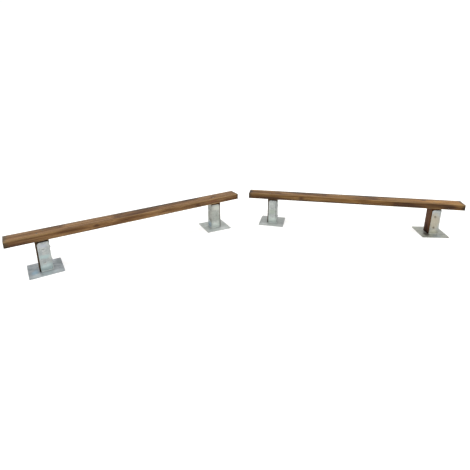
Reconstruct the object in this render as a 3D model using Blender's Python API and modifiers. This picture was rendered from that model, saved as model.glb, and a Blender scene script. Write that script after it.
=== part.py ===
"""Outdoor timber balance beams, a set of two in a shallow V.

Each beam is one softwood plank on two short square posts. Every post stands in a U-shaped galvanised
steel shoe that is welded to a square base plate. Coach screws hold the post in its shoe and two long
countersunk screws hold the plank on each post. Metres, +Z up, ground at z = 0.
"""

import math

import bmesh
import bpy

# Driving dimensions ---------------------------------------------------------------------------------

GAP = 0.0003                    # clearance between pieces that touch

PLANK_LENGTH = 2.000
PLANK_WIDTH = 0.125
PLANK_THICKNESS = 0.053
WALKING_HEIGHT = 0.315          # top of the plank above the ground
PLANK_ARRIS = 0.003

POST_SIDE = 0.090
POST_ARRIS = 0.004
POST_INSET = 0.240              # post centre to the nearer end of the plank

STEEL = 0.005                   # sheet thickness of the shoe's channel
BEND_INNER_RADIUS = 0.003
CHANNEL_LEG = 0.085             # flange length, from the web's outer face to the free edge
CHANNEL_HEIGHT = 0.240
FLANGE_CORNER_RADIUS = 0.020
NOTCH_RADIUS = 0.004            # relief notch at the top of each bend
NOTCH_DEPTH = 0.014

PLATE_SIDE = 0.245
PLATE_THICKNESS = 0.005
PLATE_CORNER_RADIUS = 0.006
WELD_RADIUS = 0.0025

LOWER_SCREW_HEIGHT = 0.071      # channel screws above the ground
UPPER_SCREW_HEIGHT = 0.179
SHANK_RADIUS = 0.004
SHANK_LENGTH = 0.040
POINT_LENGTH = 0.006
WASHER_RADIUS = 0.0085
WASHER_THICKNESS = 0.0015
WASHER_TAPER = 0.92             # top of the washer against its foot
HEX_RADIUS = 0.0075             # corner radius of a 13 mm hexagon
HEX_HEIGHT = 0.0055

PLANK_SCREW_OFFSET = 0.022      # from the post's axis, each way
PLANK_SCREW_LENGTH = 0.140
PLANK_SCREW_RADIUS = 0.0035
PLANK_SCREW_HEAD_RADIUS = 0.0075
PLANK_SCREW_HEAD_RIM = 0.0008   # straight rim above the head's cone
PLANK_SCREW_HEAD_DEPTH = 0.0045
PLANK_SCREW_SINK = 0.001        # head below the plank's top

BEAM_YAW = math.radians(21.4)   # each beam is turned this far from the line of the set
INNER_HALF_GAP = 0.078          # middle of the set to the centre of each beam's inner end

HOLE_CLEARANCE = 0.0003         # least clearance round every screw
OVERSHOOT = 0.010               # how far a cutter runs past the surface that it opens

# The four posts: beam, place on the beam (-1 left end, +1 right end), the way the shoe is open
# (-1 left, +1 right) and the small twist that the hand-set post has about its own axis.
POSTS = (
    ("left", "outer", -1, -1, math.radians(0.5)),
    ("left", "inner", 1, 1, math.radians(-5.5)),
    ("right", "inner", -1, -1, math.radians(-3.5)),
    ("right", "outer", 1, -1, math.radians(7.0)),
)

UNDERSIDE = WALKING_HEIGHT - PLANK_THICKNESS
CHANNEL_BASE = PLATE_THICKNESS + GAP
CHANNEL_TOP = CHANNEL_BASE + CHANNEL_HEIGHT
INNER_FACE = POST_SIDE / 2 + GAP        # channel's inner faces, from the post's axis
OUTER_FACE = INNER_FACE + STEEL
FREE_EDGE = CHANNEL_LEG - OUTER_FACE    # where the flanges end on the open side


# Scene, collections, materials ----------------------------------------------------------------------

def clear_scene():
    for old in list(bpy.data.objects):
        bpy.data.objects.remove(old, do_unlink=True)


def new_collection(name):
    collection = bpy.data.collections.new(name)
    bpy.context.scene.collection.children.link(collection)
    return collection


def linear(hex_colour):
    """sRGB hex to linear RGBA."""
    channels = [int(hex_colour[i:i + 2], 16) / 255 for i in (1, 3, 5)]
    return [c / 12.92 if c <= 0.04045 else ((c + 0.055) / 1.055) ** 2.4 for c in channels] + [1.0]


def new_material(name, hex_colour, roughness, metallic):
    material = bpy.data.materials.new(name)
    material.use_nodes = True
    shader = material.node_tree.nodes["Principled BSDF"]
    shader.inputs["Base Color"].default_value = linear(hex_colour)
    shader.inputs["Roughness"].default_value = roughness
    shader.inputs["Metallic"].default_value = metallic
    return material


def plank_timber():
    return new_material("plank_timber", "#7d5a34", 0.6, 0.0)


def post_timber():
    return new_material("post_timber", "#5a3e2a", 0.65, 0.0)


def galvanised_steel():
    return new_material("galvanised_steel", "#a9aeab", 0.45, 0.8)


def galvanised_plate():
    return new_material("galvanised_plate", "#989c9a", 0.5, 0.8)


def weld_metal():
    return new_material("weld_metal", "#8f9492", 0.5, 0.8)


def zinc_screw():
    return new_material("zinc_screw", "#8a8d8a", 0.4, 0.9)


def timber_screw():
    return new_material("timber_screw", "#6f6a58", 0.4, 0.9)


# Object helpers -------------------------------------------------------------------------------------

def add_object(name, mesh, collection, parent, location=(0, 0, 0), rotation=(0, 0, 0)):
    thing = bpy.data.objects.new(name, mesh)
    collection.objects.link(thing)
    thing.parent = parent
    thing.location = location
    thing.rotation_euler = rotation
    return thing


def finish_mesh(work, name, material=None):
    """Turn a bmesh into a mesh with outward normals."""
    bmesh.ops.recalc_face_normals(work, faces=work.faces)
    mesh = bpy.data.meshes.new(name)
    work.to_mesh(mesh)
    work.free()
    if material:
        mesh.materials.append(material)
    return mesh


def block(name, length, width, bottom, top, material):
    """A box centred on the Z axis, between two heights."""
    work = bmesh.new()
    bmesh.ops.create_cube(work, size=1.0)
    bmesh.ops.scale(work, vec=(length, width, top - bottom), verts=work.verts)
    bmesh.ops.translate(work, vec=(0, 0, (bottom + top) / 2), verts=work.verts)
    return finish_mesh(work, name, material)


def round_upright_edges(mesh, radius, segments):
    """Round the four vertical edges of a block."""
    work = bmesh.new()
    work.from_mesh(mesh)
    upright = [e for e in work.edges if (e.verts[0].co.xy - e.verts[1].co.xy).length < GAP]
    bmesh.ops.bevel(
        work, geom=upright, offset=radius, affect="EDGES", segments=segments, profile=0.5, material=-1)
    work.to_mesh(mesh)
    work.free()
    return mesh


def prism(name, outline, direction):
    """A flat outline, a closed list of points, pushed along a direction."""
    work = bmesh.new()
    face = work.faces.new([work.verts.new(point) for point in outline])
    pushed = bmesh.ops.extrude_face_region(work, geom=[face])
    moved = [item for item in pushed["geom"] if isinstance(item, bmesh.types.BMVert)]
    bmesh.ops.translate(work, vec=direction, verts=moved)
    return finish_mesh(work, name)


def cut(thing, cutter):
    modifier = thing.modifiers.new("cut_" + cutter.name, "BOOLEAN")
    modifier.operation = "DIFFERENCE"
    modifier.object = cutter


def add_cutter(name, mesh, collection, parent, location=(0, 0, 0), rotation=(0, 0, 0)):
    cutter = add_object(name, mesh, collection, parent, location, rotation)
    cutter.display_type = "WIRE"
    cutter.hide_render = True
    return cutter


def evaluated_copy(thing, name):
    """The mesh of an object with its modifiers applied."""
    graph = bpy.context.evaluated_depsgraph_get()
    mesh = bpy.data.meshes.new_from_object(thing.evaluated_get(graph))
    mesh.name = name
    return mesh


def arc(centre, radius, start, end, steps):
    """Points on an arc in the XY plane, both ends included, angles in degrees."""
    angles = [math.radians(start + (end - start) * i / steps) for i in range(steps + 1)]
    return [(centre[0] + radius * math.cos(a), centre[1] + radius * math.sin(a)) for a in angles]


# Fasteners ------------------------------------------------------------------------------------------

def turned_mesh(name, profile, scratch, sides=12):
    """A profile of (radius, height) points turned round Z, from the top axis point to the bottom one."""
    work = bmesh.new()
    points = [work.verts.new((radius, 0.0, height)) for radius, height in profile]
    for pair in zip(points, points[1:]):
        work.edges.new(pair)
    outline = bpy.data.meshes.new(name)
    work.to_mesh(outline)
    work.free()
    thing = add_object(name, outline, scratch, None)
    turn = thing.modifiers.new("turn", "SCREW")
    turn.steps = sides
    turn.render_steps = sides
    turn.use_merge_vertices = True
    turn.merge_threshold = 0.00001
    mesh = evaluated_copy(thing, name)
    bpy.data.objects.remove(thing, do_unlink=True)
    return mesh


def shade_round(mesh, material):
    mesh.materials.clear()
    mesh.materials.append(material)
    mesh.shade_smooth()
    mesh.set_sharp_from_angle(angle=math.radians(35))
    return mesh


def channel_screw_mesh(material, scratch):
    """Flanged hex coach screw. Origin under the washer, head towards +Z, shank towards -Z."""
    profile = [
        (0.0, WASHER_THICKNESS), (WASHER_RADIUS * WASHER_TAPER, WASHER_THICKNESS), (WASHER_RADIUS, 0.0),
        (SHANK_RADIUS, 0.0), (SHANK_RADIUS, POINT_LENGTH - SHANK_LENGTH), (0.0, -SHANK_LENGTH)]
    turned = add_object("turned", turned_mesh("turned", profile, scratch), scratch, None)
    head = bmesh.new()
    bmesh.ops.create_cone(
        head, cap_ends=True, segments=6, radius1=HEX_RADIUS, radius2=HEX_RADIUS, depth=HEX_HEIGHT)
    bmesh.ops.translate(head, vec=(0, 0, WASHER_THICKNESS / 2 + HEX_HEIGHT / 2), verts=head.verts)
    hexagon = add_object("hexagon", finish_mesh(head, "hexagon"), scratch, None)
    union = turned.modifiers.new("with_head", "BOOLEAN")
    union.operation = "UNION"
    union.object = hexagon
    mesh = evaluated_copy(turned, "channel_screw")
    for used in (turned, hexagon):
        bpy.data.objects.remove(used, do_unlink=True)
    return shade_round(mesh, material)


def plank_screw_profile(clear, top):
    """Countersunk screw's outline, grown all round by a clearance; its head is flat at the given height."""
    head = PLANK_SCREW_HEAD_RADIUS + clear
    shank = PLANK_SCREW_RADIUS + clear
    return [
        (0.0, top), (head, top), (head, -PLANK_SCREW_HEAD_RIM - clear),
        (shank, -PLANK_SCREW_HEAD_DEPTH - clear), (shank, POINT_LENGTH - PLANK_SCREW_LENGTH),
        (0.0, -PLANK_SCREW_LENGTH - clear)]


def plank_screw_mesh(material, scratch):
    """Countersunk timber screw. Origin at the top of the head, pointing down."""
    return shade_round(turned_mesh("plank_screw", plank_screw_profile(0.0, 0.0), scratch), material)


def plank_drill_mesh(scratch):
    """Screw hole with a countersink that opens past the plank's top."""
    return turned_mesh("plank_drill", plank_screw_profile(2 * HOLE_CLEARANCE, OVERSHOOT), scratch)


def channel_drill_mesh(scratch):
    radius = SHANK_RADIUS + 2 * HOLE_CLEARANCE
    bottom = -SHANK_LENGTH - HOLE_CLEARANCE
    profile = [(0.0, OVERSHOOT), (radius, OVERSHOOT), (radius, bottom), (0.0, bottom)]
    return turned_mesh("channel_drill", profile, scratch)


# Timber ---------------------------------------------------------------------------------------------

def add_plank(side, beam, parts, material):
    mesh = block(side + "_plank", PLANK_LENGTH, PLANK_WIDTH, UNDERSIDE, WALKING_HEIGHT, material)
    plank = add_object(side + "_plank", mesh, parts, beam)
    arris = plank.modifiers.new("arris", "BEVEL")
    arris.width = PLANK_ARRIS
    arris.segments = 3
    return plank


def post_mesh(material):
    """Square post with rounded long edges, standing just above the base plate."""
    mesh = block("post", POST_SIDE, POST_SIDE, CHANNEL_BASE, UNDERSIDE - GAP, material)
    return round_upright_edges(mesh, POST_ARRIS, 3)


# Steel shoe -----------------------------------------------------------------------------------------

def channel_path(half_width, leg_end, corner_radius, steps):
    """U-shaped path in plan: back flange, bend, web on the -X side, bend, front flange."""
    inset = half_width - corner_radius
    back_bend = arc((-inset, inset), corner_radius, 90, 180, steps)
    front_bend = arc((-inset, -inset), corner_radius, 180, 270, steps)
    return [(leg_end, half_width)] + back_bend + front_bend + [(leg_end, -half_width)]


def channel_mesh(material):
    """Open U strip along the channel's inner face; Solidify gives it its sheet thickness."""
    work = bmesh.new()
    path = channel_path(INNER_FACE, FREE_EDGE, BEND_INNER_RADIUS, 4)
    low = [work.verts.new((x, y, CHANNEL_BASE)) for x, y in path]
    edges = [work.edges.new(pair) for pair in zip(low, low[1:])]
    raised = bmesh.ops.extrude_edge_only(work, edges=edges)
    moved = [item for item in raised["geom"] if isinstance(item, bmesh.types.BMVert)]
    bmesh.ops.translate(work, vec=(0, 0, CHANNEL_HEIGHT), verts=moved)
    mesh = bpy.data.meshes.new("channel")
    work.to_mesh(mesh)
    work.free()
    mesh.materials.append(material)
    return mesh


def flange_corner_cutter_mesh():
    """Takes the top free corner off both flanges, leaving a quarter-round."""
    radius = FLANGE_CORNER_RADIUS
    centre = (FREE_EDGE - radius, CHANNEL_TOP - radius)
    curve = arc(centre, radius, 0, 90, 6)
    past = [(FREE_EDGE - radius, CHANNEL_TOP + OVERSHOOT), (FREE_EDGE + OVERSHOOT, CHANNEL_TOP + OVERSHOOT),
            (FREE_EDGE + OVERSHOOT, CHANNEL_TOP - radius)]
    front = -OUTER_FACE - OVERSHOOT
    outline = [(x, front, z) for x, z in curve + past]
    return prism("flange_corner_cutter", outline, (0, 2 * (OUTER_FACE + OVERSHOOT), 0))


def notch_cutter_mesh():
    """Slot with a round bottom, cut along X from the origin outwards; its top is past the sheet's edge."""
    bottom = arc((0.0, NOTCH_RADIUS - NOTCH_DEPTH), NOTCH_RADIUS, 180, 360, 6)
    past = [(NOTCH_RADIUS, OVERSHOOT), (-NOTCH_RADIUS, OVERSHOOT)]
    outline = [(0.0, y, z) for y, z in bottom + past]
    return prism("notch_cutter", outline, (4 * STEEL, 0, 0))


def plate_mesh(material):
    mesh = block("base_plate", PLATE_SIDE, PLATE_SIDE, 0.0, PLATE_THICKNESS, material)
    return round_upright_edges(mesh, PLATE_CORNER_RADIUS, 4)


def weld_mesh(material, scratch):
    """Bead round the outside of the channel's foot."""
    clear = WELD_RADIUS + GAP
    corner = BEND_INNER_RADIUS + STEEL + clear
    path = channel_path(OUTER_FACE + clear, FREE_EDGE - WELD_RADIUS, corner, 5)
    curve = bpy.data.curves.new("weld", "CURVE")
    curve.dimensions = "3D"
    curve.bevel_depth = WELD_RADIUS
    curve.bevel_resolution = 1
    curve.use_fill_caps = True
    spline = curve.splines.new("POLY")
    spline.points.add(len(path) - 1)
    for point, (x, y) in zip(spline.points, path):
        point.co = (x, y, PLATE_THICKNESS + clear, 1.0)
    thing = add_object("weld_curve", curve, scratch, None)
    mesh = evaluated_copy(thing, "weld")
    bpy.data.objects.remove(thing, do_unlink=True)
    work = bmesh.new()
    work.from_mesh(mesh)
    bmesh.ops.remove_doubles(work, verts=work.verts, dist=0.00001)
    return shade_round(finish_mesh(work, "weld"), material)


# Assembly -------------------------------------------------------------------------------------------

def channel_screw_places(opening):
    """Name, seat and rotation of the six screws that hold a post in its channel.

    A shoe that is open to the left is turned half round, so its front flange is the one at +Y.
    """
    seat = OUTER_FACE + GAP
    quarter = math.pi / 2
    faces = {
        "front": ((0, -opening * seat), (opening * quarter, 0, 0)),
        "back": ((0, opening * seat), (-opening * quarter, 0, 0)),
        "web": ((-seat, 0), (0, -quarter, 0)),
    }
    for face, ((x, y), rotation) in faces.items():
        for level, z in (("lower", LOWER_SCREW_HEIGHT), ("upper", UPPER_SCREW_HEIGHT)):
            yield f"{face}_{level}", (x, y, z), rotation


def add_shoe(prefix, axis, opening, plank, meshes, parts, cutters):
    """Post, channel, base plate, weld and screws round one post axis; the shoe is open towards +X."""
    post = add_object(prefix + "_post", meshes["post"], parts, axis)
    channel = add_object(prefix + "_channel", meshes["channel"], parts, axis)
    shell = channel.modifiers.new("sheet", "SOLIDIFY")
    shell.thickness = STEEL
    shell.offset = -1.0
    shell.use_even_offset = True
    add_object(prefix + "_base_plate", meshes["plate"], parts, axis)
    add_object(prefix + "_weld", meshes["weld"], parts, axis)

    corner = add_cutter(prefix + "_corner_cutter", meshes["corner_cutter"], cutters, axis)
    cut(channel, corner)
    bend = -(INNER_FACE - BEND_INNER_RADIUS)
    for name, y, turn in (("back", -bend, 135), ("front", bend, 225)):
        notch = add_cutter(
            f"{prefix}_{name}_notch_cutter", meshes["notch_cutter"], cutters, axis,
            (bend, y, CHANNEL_TOP), (0, 0, math.radians(turn)))
        cut(channel, notch)

    for name, seat, rotation in channel_screw_places(opening):
        add_object(f"{prefix}_screw_{name}", meshes["channel_screw"], parts, axis, seat, rotation)
        drill = add_cutter(f"{prefix}_drill_{name}", meshes["channel_drill"], cutters, axis, seat, rotation)
        cut(channel, drill)
        cut(post, drill)

    for name, way in (("a", -1), ("b", 1)):
        place = (way * PLANK_SCREW_OFFSET, way * PLANK_SCREW_OFFSET, WALKING_HEIGHT - PLANK_SCREW_SINK)
        add_object(f"{prefix}_plank_screw_{name}", meshes["plank_screw"], parts, axis, place)
        drill = add_cutter(f"{prefix}_plank_drill_{name}", meshes["plank_drill"], cutters, axis, place)
        cut(plank, drill)
        cut(post, drill)


def add_empty(name, collection, parent, location, yaw):
    return add_object(name, None, collection, parent, location, (0, 0, yaw))


def stand_on_origin(root, parts):
    """Move the set so that the middle of its footprint is at the origin."""
    bpy.context.view_layer.update()
    graph = bpy.context.evaluated_depsgraph_get()
    corners = []
    for thing in parts.objects:
        if thing.type == "MESH":
            shape = thing.evaluated_get(graph)
            corners += [thing.matrix_world @ vertex.co for vertex in shape.data.vertices]
    middle = [(min(c[i] for c in corners) + max(c[i] for c in corners)) / 2 for i in range(2)]
    root.location = (-middle[0], -middle[1], 0.0)


def main():
    clear_scene()
    parts = new_collection("balance_beams")
    cutters = new_collection("cutters")
    steel = galvanised_steel()
    meshes = {
        "post": post_mesh(post_timber()),
        "channel": channel_mesh(steel),
        "plate": plate_mesh(galvanised_plate()),
        "weld": weld_mesh(weld_metal(), parts),
        "channel_screw": channel_screw_mesh(zinc_screw(), parts),
        "plank_screw": plank_screw_mesh(timber_screw(), parts),
        "corner_cutter": flange_corner_cutter_mesh(),
        "notch_cutter": notch_cutter_mesh(),
        "channel_drill": channel_drill_mesh(cutters),
        "plank_drill": plank_drill_mesh(cutters),
    }
    timber = plank_timber()

    root = add_empty("set_origin", parts, None, (0, 0, 0), 0)
    beams = {}
    planks = {}
    for side, way in (("left", -1), ("right", 1)):
        yaw = -way * BEAM_YAW
        middle = way * PLANK_LENGTH / 2
        centre = (way * INNER_HALF_GAP + middle * math.cos(yaw), middle * math.sin(yaw), 0)
        beams[side] = add_empty(side + "_beam", parts, root, centre, yaw)
        planks[side] = add_plank(side, beams[side], parts, timber)

    for side, place, end, opening, twist in POSTS:
        prefix = f"{side}_{place}"
        yaw = twist + (0.0 if opening > 0 else math.pi)
        axis = add_empty(
            prefix + "_axis", parts, beams[side], (end * (PLANK_LENGTH / 2 - POST_INSET), 0, 0), yaw)
        add_shoe(prefix, axis, opening, planks[side], meshes, parts, cutters)

    stand_on_origin(root, parts)


main()
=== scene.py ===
"""Looks of a set of two outdoor timber balance beams.

Each beam is a planed softwood plank on two short square posts. Every post stands in a hot-dip galvanised
U-shaped shoe that is welded to a square base plate. The CAD model gives every piece its place, and this
script gives every piece its finished mesh and its material.
"""

import logging
import math
import random
from collections.abc import Callable, Iterator, Mapping, Sequence
from dataclasses import dataclass, field
from enum import Enum

import bmesh
import bpy
from mathutils import Matrix, Vector, noise


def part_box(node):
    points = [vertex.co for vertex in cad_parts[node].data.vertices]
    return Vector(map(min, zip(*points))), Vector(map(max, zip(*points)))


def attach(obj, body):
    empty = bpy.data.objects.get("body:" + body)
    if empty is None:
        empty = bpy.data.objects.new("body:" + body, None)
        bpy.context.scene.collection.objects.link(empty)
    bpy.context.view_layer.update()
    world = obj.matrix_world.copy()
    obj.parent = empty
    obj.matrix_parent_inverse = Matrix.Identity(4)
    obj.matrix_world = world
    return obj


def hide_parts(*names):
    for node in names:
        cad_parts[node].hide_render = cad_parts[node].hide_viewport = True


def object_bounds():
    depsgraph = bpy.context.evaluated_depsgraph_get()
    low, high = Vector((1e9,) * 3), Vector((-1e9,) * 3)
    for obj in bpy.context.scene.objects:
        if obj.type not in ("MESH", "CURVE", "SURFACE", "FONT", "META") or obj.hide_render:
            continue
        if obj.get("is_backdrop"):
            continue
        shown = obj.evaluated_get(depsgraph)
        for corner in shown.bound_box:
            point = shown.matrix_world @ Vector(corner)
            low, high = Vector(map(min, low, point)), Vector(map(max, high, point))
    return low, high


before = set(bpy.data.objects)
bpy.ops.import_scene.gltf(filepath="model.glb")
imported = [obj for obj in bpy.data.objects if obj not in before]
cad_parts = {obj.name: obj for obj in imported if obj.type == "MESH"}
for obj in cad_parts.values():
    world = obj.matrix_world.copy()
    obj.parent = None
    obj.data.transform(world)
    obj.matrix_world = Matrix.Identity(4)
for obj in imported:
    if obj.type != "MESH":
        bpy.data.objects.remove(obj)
CAD_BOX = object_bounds()

LOG = logging.getLogger("balance_beams")
MM = 0.001
Point = tuple[float, float, float]
Settings = dict[str | int, object]
Links = dict[str | int, bpy.types.NodeSocket]
WAVE_PERIOD = math.tau / 20     # a Wave texture's ring spacing at scale 1, in metres
MERGE = 0.01 * MM               # points nearer than this are one point
FINE_MERGE = 0.001 * MM         # the same on screw heads and weld beads


# ---- Colour and nodes ------------------------------------------------------------------------------


def linear(hex_colour: str) -> tuple[float, float, float, float]:
    """Turn an sRGB hex colour into linear RGBA.

    Args:
        hex_colour: The colour as #rrggbb.

    Returns:
        Linear red, green, blue and an alpha of 1.
    """
    channels = (int(hex_colour[i:i + 2], 16) / 255 for i in (1, 3, 5))
    red, green, blue = (c / 12.92 if c <= 0.04045 else ((c + 0.055) / 1.055) ** 2.4 for c in channels)
    return red, green, blue, 1.0


def add_node(tree: bpy.types.NodeTree, kind: str, settings: Settings | None = None,
             links: Links | None = None) -> bpy.types.Node:
    """Add one node with its settings and links.

    Args:
        tree: The node tree that the node goes in.
        kind: The node's type without its ShaderNode prefix.
        settings: Values by property name, or by input name or index.
        links: Output sockets by the input name or index that each one feeds.

    Returns:
        The new node.
    """
    node = tree.nodes.new("ShaderNode" + kind)
    for key, value in (settings or {}).items():
        if isinstance(key, str) and key[0].islower():
            setattr(node, key, value)
        else:
            node.inputs[key].default_value = value
    for key, source in (links or {}).items():
        tree.links.new(source, node.inputs[key])
    return node


def set_ramp(node: bpy.types.Node, stops: Sequence[tuple[float, str]]) -> None:
    """Give a Color Ramp its stops.

    Args:
        node: The Color Ramp node.
        stops: Position and hex colour of each stop, in order.
    """
    elements = node.color_ramp.elements
    while len(elements) < len(stops):
        elements.new(1.0)
    for element, (position, hex_colour) in zip(elements, stops):
        element.position = position
        element.color = linear(hex_colour)


class MixSocket(int, Enum):
    """Sockets of a Mix node that works on colours."""

    FACTOR = 0
    A = 6
    B = 7
    RESULT = 2


@dataclass(frozen=True)
class Patch:
    """A soft-edged area of another colour.

    Attributes:
        place: Centre in the piece's own axes, in metres.
        reach: Half size along each axis, in metres.
        colour: Hex colour of the area.
        strength: How far it covers what is under it.
    """

    place: Point
    reach: Point
    colour: str
    strength: float


@dataclass(frozen=True)
class Grain:
    """Size of one kind of unevenness.

    Attributes:
        size: Feature size along each axis, in millimetres.
        detail: Octaves of finer unevenness in it.
        roughness: Weight of the finer octaves.
    """

    size: Point
    detail: float = 2.0
    roughness: float = 0.55


def soft(low: float, high: float, to_low: float = 0.0, to_high: float = 1.0) -> Settings:
    """Settings that turn one range into another with soft ends.

    Args:
        low: Where the range starts.
        high: Where it ends.
        to_low: The result at low.
        to_high: The result at high.

    Returns:
        Settings of a Map Range node.
    """
    return {"interpolation_type": "SMOOTHSTEP", "From Min": low, "From Max": high, "To Min": to_low,
            "To Max": to_high}


@dataclass(frozen=True)
class Finish:
    """A material on a piece with its own axes.

    Attributes:
        name: Name of the material.
        centre: The piece's centre in the row frame.
        turn: The piece's rotation as Euler angles.
        patches: Areas of another colour.
        start: Where the piece's unevenness starts, in metres, so that no two pieces look alike.
    """

    name: str
    centre: Point = (0.0, 0.0, 0.0)
    turn: Point = (0.0, 0.0, 0.0)
    patches: tuple[Patch, ...] = ()
    start: Point = (0.0, 0.0, 0.0)

    BREAKUP = 1.6                # how far unevenness moves a patch's border, in patch half sizes
    BORDER = (2.0, 1.1)          # where a patch begins and where it covers fully, its unevenness added

    def make(self) -> bpy.types.Material:
        """Make the material: its nodes, and the surface that the finish gives.

        Returns:
            The finished material.
        """
        material = bpy.data.materials.new(self.name)
        material.use_nodes = True
        tree = material.node_tree
        tree.nodes.clear()
        coordinates = add_node(tree, "TexCoord")
        local = add_node(
            tree, "Mapping", {"vector_type": "TEXTURE", "Location": self.centre, "Rotation": self.turn},
            {"Vector": coordinates.outputs["Object"]})
        shader = add_node(tree, "BsdfPrincipled")
        add_node(tree, "OutputMaterial", None, {"Surface": shader.outputs["BSDF"]})
        self.lay(tree, local.outputs["Vector"], shader)
        return material

    def lay(self, tree: bpy.types.NodeTree, local: bpy.types.NodeSocket, shader: bpy.types.Node) -> None:
        """Lay the finish on the shader; each finish has its own."""
        raise NotImplementedError

    def unevenness(self, tree: bpy.types.NodeTree, local: bpy.types.NodeSocket,
                   grains: Mapping[str, Grain]) -> dict[str, bpy.types.NodeSocket]:
        """Add the kinds of unevenness that a surface has, each with its real size.

        Args:
            tree: The node tree.
            local: The piece's own coordinates.
            grains: Size of each kind, by name.

        Returns:
            A value of about 0.3 to 0.7 for each kind, by name.
        """
        values = {}
        for name, grain in grains.items():
            fitted = add_node(
                tree, "Mapping",
                {"vector_type": "TEXTURE", "Location": self.start, "Scale": [s * MM for s in grain.size]},
                {"Vector": local})
            pattern = add_node(
                tree, "TexNoise", {"Scale": 1.0, "Detail": grain.detail, "Roughness": grain.roughness},
                {"Vector": fitted.outputs["Vector"]})
            values[name] = pattern.outputs["Fac"]
        return values

    def lay_patches(self, tree: bpy.types.NodeTree, local: bpy.types.NodeSocket,
                    colour: bpy.types.NodeSocket, breakup: bpy.types.NodeSocket) -> bpy.types.NodeSocket:
        """Mix the patches over a colour, with uneven borders.

        Args:
            tree: The node tree.
            local: The piece's own coordinates.
            colour: The colour under the patches.
            breakup: A noise that makes the borders uneven.

        Returns:
            The colour with the patches.
        """
        for patch in self.patches:
            fitted = add_node(
                tree, "Mapping", {"vector_type": "TEXTURE", "Location": patch.place, "Scale": patch.reach},
                {"Vector": local})
            distance = add_node(
                tree, "VectorMath", {"operation": "LENGTH"}, {0: fitted.outputs["Vector"]})
            uneven = add_node(
                tree, "Math", {"operation": "MULTIPLY_ADD", 1: self.BREAKUP},
                {0: breakup, 2: distance.outputs["Value"]})
            cover = add_node(
                tree, "MapRange", soft(*self.BORDER, 0.0, patch.strength),
                {"Value": uneven.outputs["Value"]})
            mixed = add_node(
                tree, "Mix", {"data_type": "RGBA", MixSocket.B.value: linear(patch.colour)},
                {MixSocket.FACTOR.value: cover.outputs["Result"], MixSocket.A.value: colour})
            colour = mixed.outputs[MixSocket.RESULT.value]
        return colour


# ---- Timber finishes -------------------------------------------------------------------------------


class KnotAxis(Enum):
    """The way a branch ran through the sawn timber."""

    UP = "up"
    ACROSS = "across"


@dataclass(frozen=True)
class Knot:
    """One knot.

    Attributes:
        place: Along, across and up from the piece's centre, in metres.
        radius: Half its width, in metres.
        axis: The way the branch ran.
    """

    place: Point
    radius: float
    axis: KnotAxis = KnotAxis.UP

    STRETCH = 1.5    # its length along the grain over its width
    ENDLESS = 100.0  # half length of the branch, far past the timber, in metres

    def reach(self) -> Point:
        """Half size of the knot, endless along the branch.

        Returns:
            Half sizes along, across and up.
        """
        along = self.STRETCH * self.radius
        if self.axis is KnotAxis.UP:
            return along, self.radius, self.ENDLESS
        return along, self.ENDLESS, self.radius


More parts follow.
